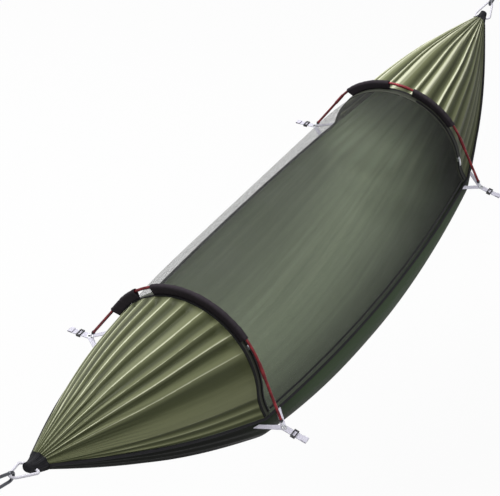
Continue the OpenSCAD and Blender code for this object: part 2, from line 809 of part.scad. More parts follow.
// A ladder buckle: two bars over the webbing, one under it, joined by side rails
buckle_len = 14;
buckle_bar = 3;
buckle_rail = 2.6;
module buckle(end, side) {
  inside = web_w / 2 + slide_gap;
  gap = web_t / 2 + slide_gap;
  width = 2 * (inside + buckle_rail);
  color("#1d1d1f")
    at_corner(end, side)
      translate([0, buckle_at, 0]) {
        for (x = [-inside - buckle_rail, inside])
          translate([x, -buckle_len / 2, -gap - buckle_bar])
            cube([buckle_rail, buckle_len, 2 * (gap + buckle_bar)]);
        for (y = [-1, 1] * (buckle_len - buckle_bar) / 2)
          translate([-width / 2, y - buckle_bar / 2, gap])
            cube([width, buckle_bar, buckle_bar]);
        translate([-width / 2, -buckle_bar / 2, -gap - buckle_bar])
          cube([width, buckle_bar, buckle_bar]);
      }
}
module foot_near_buckle() { buckle(foot, near); }
module foot_far_buckle() { buckle(foot, far); }
module head_near_buckle() { buckle(head, near); }
module head_far_buckle() { buckle(head, far); }

// Hanging ends

channel_steps = 6;
channel_folds = 9;
channel_columns = 36;
channel_gap = 1;
channel_end_share = 0.46;
tunnel_share = 0.66;
tunnel_d = loop_d + 2 * slide_gap;
tunnel_at = channel_gap + tunnel_share * channel_len;
tunnel_turn = hang_slope * tunnel_share;
// Radius of the black channel, gathered into folds that fade towards its end
function channel_r(t, a) = gather_r * mix(1, channel_end_share, pow(t, 0.8))
  * (1 + 0.08 * cos(channel_folds * a) * (1 - t));
// Its rings turn from the upright bundle to the hanging line
function channel_pt(t, a) = let (
    r = channel_r(t, a),
    tilt = hang_slope * t,
    x = channel_gap + t * channel_len)
  [half_span + x * cos(tilt) - r * cos(a) * sin(tilt), r * sin(a),
    gather_z + x * sin(tilt) + r * cos(a) * cos(tilt)];
module end_channel(end) {
  color("#26262a")
    mirror([end < 0 ? 1 : 0, 0, 0])
      difference() {
        skin([for (i = [0:channel_steps]) [for (j = [channel_columns:-1:1])
          channel_pt(i / channel_steps, 360 * j / channel_columns)]]);
        translate([half_span + tunnel_at * cos(tunnel_turn), 0, gather_z + tunnel_at * sin(tunnel_turn)])
          rotate([90, 0, 0])
            cylinder(d = tunnel_d, h = 4 * gather_r, center = true);
      }
}
module foot_end_channel() { end_channel(foot); }
module head_end_channel() { end_channel(head); }

// Hanging loop: one closed cord through the channel and round the carabiner
loop_half_w = gather_r * mix(1, channel_end_share, pow(tunnel_share, 0.8)) + seam_gap;
// Places children on the loop: X along the hanging line, from the channel's tunnel
module at_loop(end) {
  mirror([end < 0 ? 1 : 0, 0, 0])
    translate([half_span + tunnel_at * cos(tunnel_turn), 0, gather_z + tunnel_at * sin(tunnel_turn)])
      rotate([0, -hang_slope, 0])
        children();
}
loop_corners = [[loop_bend_r, loop_half_w], [loop_bend_r, -loop_half_w], [loop_bend_r + loop_len, 0]];
loop_sides = 10;
loop_bend_steps = 8;
module hang_loop(end) {
  color("#e2e1ea")
    at_loop(end)
      skin([for (i = [0:2]) let (
          a = loop_corners[i],
          b = loop_corners[(i + 1) % 3],
          c = loop_corners[(i + 2) % 3],
          way_in = atan2(b.y - a.y, b.x - a.x),
          way_out = atan2(c.y - b.y, c.x - b.x),
          turn = (way_out - way_in + 360) % 360)
        for (k = [0:loop_bend_steps]) let (
            w = way_in - 90 + turn * k / loop_bend_steps,
            out = [cos(w), sin(w), 0])
          ring_at([b.x, b.y, 0] + loop_bend_r * out, out, loop_d / 2, loop_sides)], loop = true);
}
module foot_hang_loop() { hang_loop(foot); }
module head_hang_loop() { hang_loop(head); }

// Carabiner: a round bar bent about two centres, with a sprung gate on its upper side
loop_reach = 2 * loop_bend_r + loop_len;
carabiner_x = loop_reach - loop_d / 2 - slide_gap - carabiner_d / 2 + carabiner_small_r;
taper = asin((carabiner_large_r - carabiner_small_r) / carabiner_reach);
side_len = carabiner_reach * cos(taper);
hinge_at = 8;
nose_stub = 6;
nose_tongue = 4;
tongue_r = 3.4;
slot_t = gate_tongue_t + slide_gap;
gate_len = side_len - nose_stub - slide_gap - hinge_at;
// Places children on the carabiner: X along it, Y towards its gate
module at_carabiner(end) {
  at_loop(end)
    translate([carabiner_x, 0, 0])
      rotate([90, 0, 0])
        children();
}
// The same along the gate's line, from where the small bend ends
module at_gate_line(end) {
  at_carabiner(end)
    translate(carabiner_small_r * [-sin(taper), cos(taper), 0])
      rotate([0, 0, taper])
        children();
}
module bar(length) {
  rotate([0, 90, 0])
    cylinder(d = carabiner_d, h = length);
}
bar_sides = 16;
bend_steps = 12;
// A point of the gate's line, with the direction square to it
gate_out = [-sin(taper), cos(taper), 0];
function gate_line_pt(x) = carabiner_small_r * gate_out + x * [cos(taper), sin(taper), 0];
hinge_stub = hinge_at - carabiner_d / 2 - slide_gap;
function bend_rings(centre, r, from, to) = [for (k = [0:bend_steps])
  let (a = mix(from, to, k / bend_steps), out = [cos(a), sin(a), 0])
  ring_at(centre + r * out, out, carabiner_d / 2, bar_sides)];
module carabiner(end) {
  color("#9a9ca0")
    difference() {
      union() {
        at_carabiner(end)
          skin([
            ring_at(gate_line_pt(hinge_stub), gate_out, carabiner_d / 2, bar_sides),
            each bend_rings([0, 0, 0], carabiner_small_r, 90 + taper, 270 - taper),
            each bend_rings([carabiner_reach, 0, 0], carabiner_large_r, -90 - taper, 90 + taper),
            ring_at(gate_line_pt(side_len - nose_stub), gate_out, carabiner_d / 2, bar_sides)]);
        at_gate_line(end) {
          translate([1, -tongue_r, -gate_tongue_t / 2])
            cube([hinge_at - 1, 2 * tongue_r, gate_tongue_t]);
          translate([hinge_at, 0, 0])
            cylinder(r = tongue_r, h = gate_tongue_t, center = true);
          translate([side_len - nose_stub - nose_tongue, -tongue_r, -gate_tongue_t / 2])
            cube([nose_tongue + 1, 2 * tongue_r, gate_tongue_t]);
        }
      }
      at_gate_line(end)
        translate([hinge_at, 0, 0])
          cylinder(d = gate_pin_d + 2 * pin_gap, h = 2 * carabiner_d, center = true);
    }
}
module foot_carabiner() { carabiner(foot); }
module head_carabiner() { carabiner(head); }

spring_bore = 4.6;
spring_start = tongue_r + 1.4;
spring_len = 12;
cheek_w = 0.8 * carabiner_d;
module gate(end) {
  slot_in = tongue_r + 0.8;
  color("#b4b6ba")
    at_gate_line(end)
      translate([hinge_at, 0, 0])
        difference() {
          union() {
            bar(gate_len);
            cylinder(d = carabiner_d - 0.2, h = cheek_w, center = true);
          }
          translate([-carabiner_d, -carabiner_d, -slot_t / 2])
            cube([carabiner_d + slot_in, 2 * carabiner_d, slot_t]);
          translate([gate_len - nose_tongue - slide_gap, -carabiner_d, -slot_t / 2])
            cube([2 * nose_tongue, 2 * carabiner_d, slot_t]);
          cylinder(d = gate_pin_d + 2 * seat_gap, h = 2 * carabiner_d, center = true);
          rotate([0, 90, 0])
            cylinder(d = spring_bore, h = spring_start + spring_len);
        }
}
module foot_gate() { gate(foot); }
module head_gate() { gate(head); }

module gate_pin(end) {
  color("#55565a")
    at_gate_line(end)
      translate([hinge_at, 0, 0])
        cylinder(d = gate_pin_d, h = cheek_w, center = true);
}
module foot_gate_pin() { gate_pin(foot); }
module head_gate_pin() { gate_pin(head); }

spring_rings = 8;
spring_sides = 6;
spring_r = spring_bore / 2 - spring_wire_d / 2 - 0.15;
spring_rise = (spring_len - 1) / spring_turns;
function spring_pt(i) = let (a = 360 * i / spring_rings)
  [spring_start + 0.5 + spring_rise * i / spring_rings, spring_r * cos(a), spring_r * sin(a)];
spring_pts = [for (i = [0:spring_rings * spring_turns]) spring_pt(i)];
spring_last = len(spring_pts) - 1;
echo(spring_gap_to_itself = min([for (i = [0:spring_last]) for (j = [i + spring_rings / 2:1:spring_last])
  norm(spring_pts[j] - spring_pts[i])]) - spring_wire_d);
module gate_spring(end) {
  color("#77787c")
    at_gate_line(end)
      translate([hinge_at, 0, 0])
        skin([for (i = [0:spring_last]) let (out = unit([0, spring_pts[i].y, spring_pts[i].z]))
          [for (j = [0:spring_sides - 1]) let (a = 360 * j / spring_sides)
            spring_pts[i] + spring_wire_d / 2 * (cos(a) * out + sin(a) * [-1, 0, 0])]]);
}
module foot_gate_spring() { gate_spring(foot); }
module head_gate_spring() { gate_spring(head); }

bed_sheet();
foot_cover();
head_cover();
bug_net();
near_rim_hem();
far_rim_hem();
rim_zip();
foot_edge_binding();
head_edge_binding();
foot_arch_zip();
head_arch_zip();
foot_top_sleeve();
foot_far_sleeve();
head_near_sleeve();
head_far_sleeve();
foot_pole_near_end();
foot_pole_near_middle();
foot_pole_far_middle();
foot_pole_far_end();
head_pole_near_end();
head_pole_near_middle();
head_pole_far_middle();
head_pole_far_end();
foot_pole_ferrules();
head_pole_ferrules();
foot_pole_caps();
head_pole_caps();
foot_pole_pins();
head_pole_pins();
foot_shock_cord();
head_shock_cord();
foot_near_strap();
foot_far_strap();
head_near_strap();
head_far_strap();
foot_near_grommet();
foot_far_grommet();
head_near_grommet();
head_far_grommet();
foot_near_buckle();
foot_far_buckle();
head_near_buckle();
head_far_buckle();
foot_end_channel();
head_end_channel();
foot_hang_loop();
head_hang_loop();
foot_carabiner();
head_carabiner();
foot_gate();
head_gate();
foot_gate_pin();
head_gate_pin();
foot_gate_spring();
head_gate_spring();
foot_zip_slider();
head_zip_slider();
foot_zip_pull();
head_zip_pull();
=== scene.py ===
import math

import bpy
import numpy as np
from mathutils import Matrix, Vector


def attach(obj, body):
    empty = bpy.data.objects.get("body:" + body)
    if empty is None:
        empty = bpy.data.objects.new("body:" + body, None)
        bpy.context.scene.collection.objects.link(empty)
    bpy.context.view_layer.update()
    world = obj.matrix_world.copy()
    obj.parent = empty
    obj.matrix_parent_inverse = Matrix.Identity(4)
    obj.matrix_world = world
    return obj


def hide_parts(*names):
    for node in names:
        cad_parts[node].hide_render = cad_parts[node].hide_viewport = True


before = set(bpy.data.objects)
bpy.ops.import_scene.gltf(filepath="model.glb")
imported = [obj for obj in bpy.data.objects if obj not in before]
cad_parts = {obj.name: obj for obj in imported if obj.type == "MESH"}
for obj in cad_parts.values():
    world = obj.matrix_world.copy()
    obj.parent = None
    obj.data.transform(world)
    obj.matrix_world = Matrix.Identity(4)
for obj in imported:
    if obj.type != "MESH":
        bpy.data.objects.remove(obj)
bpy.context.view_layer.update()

# Camera: it stands off the foot end on the near side, high up, with a long lens.
# Its place is solved from the four pole ends and the two gathers in the picture. The lens is then
# 1.4 % shorter than the solved one, so that both ends come further into the picture.
azimuth, elevation, roll = (math.radians(a) for a in (-64.731, 38.414, 6.074))
yaw, pitch = math.radians(2.261), math.radians(-0.08)
aim, distance = Vector((0, 0, 0.285)), 4.134
toward = Vector((math.sin(azimuth) * math.cos(elevation), -math.cos(azimuth) * math.cos(elevation),
                 math.sin(elevation)))
sideways = Vector((0, 0, 1)).cross(toward).normalized()
upright = toward.cross(sideways)
camera_back = (toward + math.tan(yaw) * sideways + math.tan(pitch) * upright).normalized()
level = upright.cross(camera_back).normalized()
plumb = camera_back.cross(level)
camera_right = level * math.cos(roll) + plumb * math.sin(roll)
camera_up = plumb * math.cos(roll) - level * math.sin(roll)
lens = bpy.data.cameras.new("camera")
lens.lens, lens.sensor_width, lens.sensor_fit = 95.2, 36, "HORIZONTAL"
camera = bpy.data.objects.new("camera", lens)
camera.matrix_world = Matrix.Translation(aim + toward * distance) @ Matrix(
    (camera_right, camera_up, camera_back)).transposed().to_4x4()
bpy.context.collection.objects.link(camera)
bpy.context.scene.camera = camera
bpy.context.scene.view_settings.view_transform = "Standard"


# Studio: the hammock hangs over a pale floor in front of white. A large soft lamp above the far side
# shapes the pleats, a weaker one above the foot end lights the near side, and the white room fills in.
class Value:
    """A shader socket that takes part in Python sums: each operator adds a Math node."""

    def __init__(self, finish, socket):
        self.finish, self.socket = finish, socket

    def math(self, operation, *terms):
        return self.finish.node("ShaderNodeMath", {"operation": operation}, dict(enumerate(terms)))

    def __add__(self, other):
        return self.math("ADD", self, other)

    def __sub__(self, other):
        return self.math("SUBTRACT", self, other)

    def __rsub__(self, other):
        return self.math("SUBTRACT", other, self)

    def __mul__(self, other):
        return self.math("MULTIPLY", self, other)

    __radd__, __rmul__ = __add__, __mul__


class Finish:
    """A node material: one way of adding any node, and the sockets of its Principled shader."""

    def __init__(self, name, owner=None, **fixed):
        self.material = owner or bpy.data.materials.new(name)
        self.material.use_nodes = True
        self.tree = self.material.node_tree
        self.shader = self.tree.nodes.get("Principled BSDF")
        self.show(**fixed)

    def node(self, kind, settings=(), sockets=(), out=0):
        made = self.tree.nodes.new(kind)
        for name, value in dict(settings).items():
            setattr(made, name, value)
        for name, value in dict(sockets).items():
            self.feed(made.inputs[name], value)
        return Value(self, made.outputs[out])

    def feed(self, socket, value):
        if isinstance(value, Value):
            self.tree.links.new(value.socket, socket)
        else:
            socket.default_value = value

    def show(self, **sockets):
        for name, value in sockets.items():
            self.feed(self.shader.inputs[name.replace("_", " ")], value)

    def mix(self, share, a, b):
        return self.node("ShaderNodeMix", {"data_type": "RGBA"}, {0: share, 6: a, 7: b}, out=2)

    def place(self, scale=(1, 1, 1), kind="Object"):
        return self.node("ShaderNodeMapping", {},
                         {"Vector": self.node("ShaderNodeTexCoord", out=kind), "Scale": scale})

    def noise(self, where, scale, detail=2.0):
        return self.node("ShaderNodeTexNoise", {}, {"Vector": where, "Scale": scale, "Detail": detail})

    def bands(self, where, pitch, way):
        """Stripes this far apart, in the units of the place they are drawn in."""
        return self.node("ShaderNodeTexWave", {"bands_direction": way},
                         {"Vector": where, "Scale": math.pi / (10 * pitch)}, out="Fac")

    def ramp(self, value, low, high):
        """0 up to low, 1 from high on, and an S-curve between them; low may be the larger."""
        return self.node("ShaderNodeMapRange", {"interpolation_type": "SMOOTHSTEP"},
                         {"Value": value, 1: low, 2: high})

    def bump(self, height, depth, strength=1.0):
        self.show(Normal=self.node("ShaderNodeBump", {}, {"Height": height, "Distance": depth,
                                                          "Strength": strength}))


def dye(code):
    """A colour code as the linear colour that a shader takes."""
    parts = [int(code[i:i + 2], 16) / 255 for i in (0, 2, 4)]
    return [c / 12.92 if c <= 0.04045 else ((c + 0.055) / 1.055) ** 2.4 for c in parts] + [1.0]


def shows_studio(finish):
    """1 for rays that show floor or backdrop, straight, mirrored or through the net, and 0 for light."""
    straight, mirrored, through = (finish.node("ShaderNodeLightPath", out=f"Is {kind} Ray")
                                   for kind in ("Camera", "Glossy", "Transmission"))
    return straight.math("MAXIMUM", straight, straight.math("MAXIMUM", mirrored, through))


floor_drop, floor_glow = 0.62, 0.95
bpy.ops.mesh.primitive_plane_add(size=40, location=(0, 0, -floor_drop))
floor = bpy.context.object
floor.name = "studio_floor"
floor_finish = Finish("studio_floor", Base_Color=dye("cfcfcf"), Roughness=0.9)
glow = floor_finish.node("ShaderNodeEmission", {}, {"Color": (1, 1, 1, 1), "Strength": 1.0})
matt = Value(floor_finish, floor_finish.shader.outputs[0])
blend = floor_finish.node("ShaderNodeMixShader", {}, {
    0: shows_studio(floor_finish) * floor_glow, 1: matt, 2: glow})
floor_finish.feed(floor_finish.tree.nodes["Material Output"].inputs["Surface"], blend)
floor.data.materials.append(floor_finish.material)

world = Finish("studio", bpy.data.worlds.new("studio"))
bpy.context.scene.world = world.material
fill_light = 0.2
backdrop = world.tree.nodes["Background"]
backdrop.inputs["Color"].default_value = (1, 1, 1, 1)
world.feed(backdrop.inputs["Strength"], fill_light + (1 - fill_light) * shows_studio(world))

lamp_distance = 4.2
for lamp_name, power, size, way in (
        ("key_lamp", 220, 2.6, Vector((0.15, 0.56, 0.81))),
        ("top_lamp", 95, 2.4, Vector((-0.45, -0.40, 0.80)))):
    lamp = bpy.data.lights.new(lamp_name, "AREA")
    lamp.energy, lamp.size = power, size
    lamp_stand = bpy.data.objects.new(lamp_name, lamp)
    lamp_stand.location = aim + lamp_distance * way.normalized()
    lamp_stand.rotation_euler = way.to_track_quat("Z", "Y").to_euler()
    bpy.context.collection.objects.link(lamp_stand)


# Arch poles: red anodised tube in four lengths over a shock cord, with red joint tubes, black plastic
# end caps and steel pins. They stay as the CAD makes them and get their metal and plastic here.
def paint(finish, *nodes):
    """Gives CAD pieces a finish and leaves their shape alone."""
    for node in nodes:
        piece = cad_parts[node]
        if not piece.material_slots:
            piece.data.materials.append(None)
        for slot in piece.material_slots:
            slot.material = finish.material


ends = ("foot", "head")
pole_red = Finish("pole_red", Metallic=0.55)
pole_place = pole_red.place()
rub = pole_red.noise(pole_place, 38, 4)
pole_red.show(Base_Color=pole_red.mix(pole_red.ramp(rub, 0.42, 0.72), dye("5d1119"), dye("8a2a30")),
              Roughness=0.24 + 0.22 * pole_red.noise(pole_place, 160, 3))
pole_red.bump(pole_red.noise(pole_place, 900, 2), 0.00003)
paint(pole_red, *(f"{end}_pole_{part}" for end in ends
                  for part in ("near_end", "near_middle", "far_middle", "far_end", "ferrules")))

cap_plastic = Finish("cap_plastic")
cap_grain = cap_plastic.noise(cap_plastic.place(), 1500, 2)
cap_plastic.show(Base_Color=cap_plastic.mix(cap_grain, dye("141416"), dye("26262a")),
                 Roughness=0.4 + 0.2 * cap_grain)
cap_plastic.bump(cap_grain, 0.00005)
paint(cap_plastic, "foot_pole_caps", "head_pole_caps")

pin_steel = Finish("pin_steel", Metallic=1.0)
pin_turned = pin_steel.bands(pin_steel.place(), 0.0004, "Z")
pin_steel.show(Base_Color=pin_steel.mix(pin_turned, dye("b9bbc0"), dye("d6d8dc")),
               Roughness=0.22 + 0.12 * pin_turned)
pin_steel.bump(pin_turned, 0.00002)
paint(pin_steel, "foot_pole_pins", "head_pole_pins")

shock_cord = Finish("shock_cord", Roughness=0.8)
cord_braid = shock_cord.bands(shock_cord.place(), 0.0012, "DIAGONAL")
shock_cord.show(Base_Color=shock_cord.mix(cord_braid, dye("1b1b1e"), dye("5c5c62")))
shock_cord.bump(cord_braid, 0.0002)
paint(shock_cord, "foot_shock_cord", "head_shock_cord")

# Covers: olive satin nylon from the flared edge under each arch to the gathered bundle at the end.
# The cloth is laid in sharp-crested pleats that start at uneven places along the arch, deepen, and
# crowd together where the end is drawn tight; a few folds lie along the lower rims.
half_span, arch_x, tip_z, half_chord = 1.3, 0.675, 0.285, 0.32
gather_z, gather_r, arch_lean = 0.528, 0.026, math.radians(5.5)
pole_r, pole_centre_z, pole_leg_angle = 0.259256, 0.035744, math.radians(60)
edge_r, edge_angle, flare_r, flare_turn = 0.234256, math.radians(80), 0.134, math.radians(34)
flare_len = flare_r * flare_turn
edge_len = 2 * (flare_len + edge_r * edge_angle)
flare_centre = (edge_r + flare_r) * np.array([math.sin(edge_angle), math.cos(edge_angle)])
flare_centre += [0, pole_centre_z]
cover_seam, hem_room = 0.0084, 0.0044


def edge_line(v):
    """The cover edge in the arch's own plane, from the near corner (0) to the far one (1)."""
    s = np.minimum(v, 1 - v) * edge_len
    a = edge_angle - math.pi / 2 - flare_turn * (1 - s / flare_len)
    b = (s - flare_len) / edge_r - edge_angle
    y = np.where(s < flare_len, flare_r * np.cos(a) - flare_centre[0], edge_r * np.sin(b))
    z = np.where(s < flare_len, flare_r * np.sin(a) + flare_centre[1], pole_centre_z + edge_r * np.cos(b))
    return np.where(v <= 0.5, y, -y), z


def on_arch(end, n, y, z):
    """A point of the leaning arch plane, n outwards along the hammock."""
    c, s = math.cos(arch_lean), math.sin(arch_lean)
    return np.stack(np.broadcast_arrays(end * (arch_x + n * c - z * s), y, tip_z + n * s + z * c), -1)


def sheet_mesh(name, grid, loop=False, fold=None, flip=False):
    """A grid of points as one sheet of quads, with a map of its lengths in metres and, when one is given, a
    tone of painted light and shade for its colour.
    """
    rows, columns = grid.shape[:2]
    wide = np.concatenate([grid, grid[:, :1]], 1) if loop else grid
    steps = np.linalg.norm(np.diff(wide, axis=1), axis=2)
    across = np.concatenate([[0], np.cumsum(steps[np.argmax(steps.sum(1))])])
    along = np.concatenate([[0], np.cumsum(np.linalg.norm(np.diff(grid, axis=0), axis=2).mean(1))])
    ids = np.arange(rows * columns).reshape(rows, columns)
    ids = np.concatenate([ids, ids[:, :1]], 1) if loop else ids
    chart = np.stack(np.meshgrid(across, along), -1)
    around = [(slice(0, -1), slice(0, -1)), (slice(0, -1), slice(1, None)),
              (slice(1, None), slice(1, None)), (slice(1, None), slice(0, -1))]
    around = around[::-1] if flip else around
    mesh = bpy.data.meshes.new(name)
    mesh.from_pydata(grid.reshape(-1, 3).tolist(), [],
                     np.stack([ids[a] for a in around], -1).reshape(-1, 4).tolist())
    mesh.uv_layers.new(name="cloth").data.foreach_set(
        "uv", np.stack([chart[a] for a in around], -2).astype(np.float32).ravel())
    # The tone given is painted light and shade: it sets how dark or light the cloth's colour is painted.
    if fold is not None:
        folds = mesh.attributes.new("fold", "FLOAT", "POINT")
        folds.data.foreach_set("value", fold.astype(np.float32).ravel())
    mesh.polygons.foreach_set("use_smooth", np.ones(len(mesh.polygons), bool))
    mesh.update()
    piece = bpy.data.objects.new(name, mesh)
    bpy.context.collection.objects.link(piece)
    return piece


def fit(piece, finish, node):
    """Gives a finished soft piece its material and its body, and hides the CAD solid it stands for."""
    piece.data.materials.append(finish.material)
    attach(piece, "hammock")
    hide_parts(node)
    return piece


def smooth(low, high, t):
    """0 up to low, 1 from high on, and an S-curve between them."""
    t = np.clip((t - low) / (high - low), 0, 1)
    return t * t * (3 - 2 * t)


def pleats(v, crests, depths, lean):
    """Depth below the crests across a pleated cloth, nearness to a crest (0 to 1) and pleat number."""
    place = np.clip(np.searchsorted(crests, v, side="right") - 1, 0, len(crests) - 2)
    t = np.clip((v - crests[place]) / (crests[place + 1] - crests[place]), 0, 1) ** np.take(lean, place)
    crest_round = 0.02
    flank = 1 - np.sqrt((2 * t - 1) ** 2 + crest_round)
    return np.take(depths, place) * flank, 1 - flank, place


cover_cloth = Finish("cover_cloth", Specular_IOR_Level=0.2, Sheen_Weight=0.05, Sheen_Roughness=0.4)
cover_map = cover_cloth.place(kind="UV")
# Painted shade and highlight: each cover's attribute paints the colour from a dark valley shade (33371f)
# through the mid olive (6e7253) to a pale crest highlight (c0c2a8).
cover_fold = cover_cloth.node("ShaderNodeAttribute", {"attribute_name": "fold"}, out="Fac")
cover_long = cover_cloth.noise(cover_cloth.place((90, 5, 1), "UV"), 1, 4)
cover_cloud = cover_cloth.noise(cover_map, 9, 3)
cover_slope_shade = cover_cloth.ramp(cover_fold + 0.25 * (cover_long - 0.5), 0.1, 0.85)
cover_painted_tone = cover_cloth.mix(cover_slope_shade, dye("33371f"), dye("6e7253"))
cover_painted_tone = cover_cloth.mix(cover_cloth.ramp(cover_fold, 0.7, 0.98), cover_painted_tone, dye("c0c2a8"))
cloth_pitch = 0.0011
cover_weave = cover_cloth.bands(cover_map, cloth_pitch, "X") * cover_cloth.bands(cover_map, cloth_pitch, "Y")
cover_cloth.show(Base_Color=cover_painted_tone, Roughness=0.5 + 0.16 * cover_cloud)
cover_cloth.bump(cover_long + 0.08 * cover_weave, 0.0012, 0.5)

cover_swell, end_sag, tuck_count, tuck_depth = 0.022, 0.010, 43, 0.0028
cover_grid_u, cover_grid_v = 110, 560
# For each end: where the crests stand from the near rim (0) to the far one (1), how steep the pleat
# behind each is, and how far its valley leans.
cover_pleats = {
    "foot": ([0, 0.022, 0.05, 0.085, 0.255, 0.325, 0.385, 0.445, 0.515, 0.575, 0.64, 0.69, 0.75, 0.805,
              0.88, 0.95, 1],
             [0.14, 0.2, 0.22, 0.08, 0.3, 0.34, 0.2, 0.34, 0.26, 0.36, 0.26, 0.34, 0.28, 0.34, 0.2, 0.16],
             [1, 1.2, 1.4, 2.6, 1.9, 1.6, 1.1, 2, 1.4, 2.1, 1.3, 1.9, 1.5, 2, 1.3, 1]),
    "head": ([0, 0.03, 0.07, 0.13, 0.19, 0.245, 0.3, 0.345, 0.42, 0.465, 0.55, 0.59, 0.675, 0.73, 0.82,
              0.9, 0.96, 1],
             [0.1, 0.14, 0.18, 0.16, 0.2, 0.18, 0.3, 0.42, 0.34, 0.4, 0.36, 0.4, 0.34, 0.3, 0.24, 0.18, 0.14],
             [1, 1.2, 1.6, 1.3, 1.8, 1.2, 1.7, 0.8, 1.7, 0.75, 1.8, 0.9, 1.8, 0.9, 1.4, 1, 1])}


def cover_points(end, sign):
    """Points of a cover from its binding to the bundle, and the tone of painted shade and crest highlight at
    each one.
    """
    u = np.linspace(0, 1, cover_grid_u)[:, None]
    girth = edge_len + (math.pi * gather_r - edge_len) * u
    v = hem_room / girth + (1 - 2 * hem_room / girth) * np.linspace(0, 1, cover_grid_v)[None, :]
    y, z = edge_line(v)
    arch = on_arch(1, cover_seam, y, z)
    bundle = np.stack(np.broadcast_arrays(half_span, -gather_r * np.cos(math.pi * v),
                                          gather_z + gather_r * np.sin(math.pi * v)), -1)
    p = arch + (bundle - arch) * u[:, :, None]
    crests, steep, lean = (np.array(values) for values in cover_pleats[end])
    wander = 0.004 * np.sin(2.3 * math.pi * u + 14 * v) * np.sin(math.pi * u) * np.sin(math.pi * v)
    across = v + wander
    drop, near_crest, place = pleats(across, crests, steep * np.diff(crests), lean)
    # A pleat is shallow at the binding, opens within 5 % of the way, and is full a little later.
    late = 0.10 * np.abs(np.sin(5.1 * place + 1))
    rise = 0.08 + 0.67 * smooth(0, 0.05, u) + 0.25 * smooth(late, late + 0.3, u)
    drop *= girth * rise * (1 - 0.55 * smooth(0.8, 1, u))
    tucks = 0.5 - 0.5 * np.cos(2 * math.pi * (tuck_count * v + 0.5 * np.sin(11 * v) + 0.8 * np.sin(5 * u)))
    drop += tuck_depth * tucks * smooth(0.4, 0.8, u) * (1 - 0.5 * u)
    out = cover_swell * np.sin(math.pi * u) - drop
    p[:, :, 1] -= out * np.cos(math.pi * v)
    p[:, :, 2] += out * np.sin(math.pi * v) - end_sag * np.sin(math.pi * u) * np.cos(math.pi * v) ** 2
    p[:, :, 0] *= sign
    # Painted shade and highlight: the colour is painted darker down each pleat's flanks into its valley, with
    # a painted highlight line along each crest that is strongest on the steep pleats. The foot cover is
    # painted darker overall than the head cover. The head cover is painted darker towards its near side,
    # where its stripes are also weaker, and darker again at its far edge.
    past, short_of = across - crests[place], crests[np.minimum(place + 1, len(crests) - 1)] - across
    wide, painted_highlight = (0.009, 0.29) if end == "foot" else (0.02, 0.2)
    crest = smooth(wide, 0, past) + smooth(wide / 3, 0, short_of)
    if end == "foot":
        tone = 0.3 + (near_crest - 0.5) * (0.5 + 0.3 * rise)
    else:
        contrast = (0.8 + 0.4 * rise) * (0.4 + 0.6 * smooth(0.12, 0.32, v))
        tone = 0.24 + (near_crest - 0.5) * contrast + 0.29 * smooth(0.2, 0.5, v) - 0.2 * smooth(0.72, 1, v)
    return p, np.minimum(tone, 0.8) + painted_highlight * crest * (np.take(steep, place) / 0.36) ** 2


for end, sign in zip(ends, (-1, 1)):
    # The second value is each cover's tone of painted shade and crest highlight.
    points, near_crest = cover_points(end, sign)
    fit(sheet_mesh(f"{end}_cover_cloth", points, fold=near_crest, flip=sign < 0),
                      cover_cloth, f"{end}_cover")

# Bed: the dark green trough that runs from end to end, two layers of cloth, with a dark green outside that is
# painted as shade down to black towards the bottom and the ends. It is gathered with the covers, sewn to the
# rims, and hangs in long shallow creases.
rim_sag, rim_bow, rim_tuck = 0.027, 0.034, math.radians(15)
bed_top_end, bed_low, bed_slack, bed_thick = 0.502, 0.001, 0.0012, 0.0012
bed_rows, bed_columns = 261, 181
corner_x, corner_y, corner_z = (float(c) for c in on_arch(1, cover_seam, *edge_line(np.array(0.0))))


def rim_line(x):
    """Half width and height of the rim at a place along the hammock."""
    u = np.abs(x) / corner_x
    e = (np.abs(x) - corner_x) / (half_span - corner_x)
    y = np.where(u <= 1, -corner_y + rim_bow * (1 - u ** 2),
                 -corner_y + (gather_r + corner_y) * e + cover_swell * np.sin(math.pi * e))
    z = np.where(u <= 1, corner_z - rim_sag * (1 - u ** 2),
                 corner_z + (gather_z - corner_z) * e - end_sag * np.sin(math.pi * e))
    return y, z


def bed_section(x):
    """Half width, depth, bottom and tuck angle of the bed's round section."""
    y, z = rim_line(x)
    bottom = bed_top_end - (bed_top_end - bed_low) * (1 - (np.abs(x) / half_span) ** 2)
    tuck = rim_tuck * (1 - (np.abs(x) / half_span) ** 4)
    return y / np.cos(tuck), (z - bottom) / (1 + np.sin(tuck)), bottom, tuck


bed_crests = np.array([0, 0.05, 0.11, 0.19, 0.26, 0.33, 0.41, 0.47, 0.55, 0.62, 0.69, 0.77, 0.83, 0.9,
                       0.955, 1])
bed_depths = 0.001 * np.array([3, 5, 8, 7, 8, 7, 8, 7, 8, 7, 8, 7, 8, 5, 3])
bed_skews = np.array([1, 0.9, 1.1, 0.85, 1.2, 0.9, 1.1, 0.8, 1.2, 0.9, 1.1, 0.85, 1.2, 1, 1])
bed_x = np.linspace(-half_span, half_span, bed_rows)[:, None]
bed_w, bed_h, bed_bottom, bed_tuck = bed_section(bed_x)
lip = hem_room / (math.pi * 0.5 * (bed_w + bed_h))
bed_v = lip + (1 - 2 * lip) * np.linspace(0, 1, bed_columns)[None, :]
end_share = np.clip((np.abs(bed_x) - arch_x) / (half_span - arch_x), 0, 1)
drop, bed_fold, _ = pleats(bed_v, bed_crests, bed_depths, bed_skews)
rise = np.sin(math.pi * end_share ** 0.7) + 0.25 * end_share
slack = bed_slack * np.sin(2 * math.pi * (7 * bed_v + 0.8 * np.sin(3 * bed_x))) * (1 - end_share)
f = -drop * rise + slack * np.sin(math.pi * bed_v)
angle = (math.pi + 2 * bed_tuck) * bed_v - bed_tuck
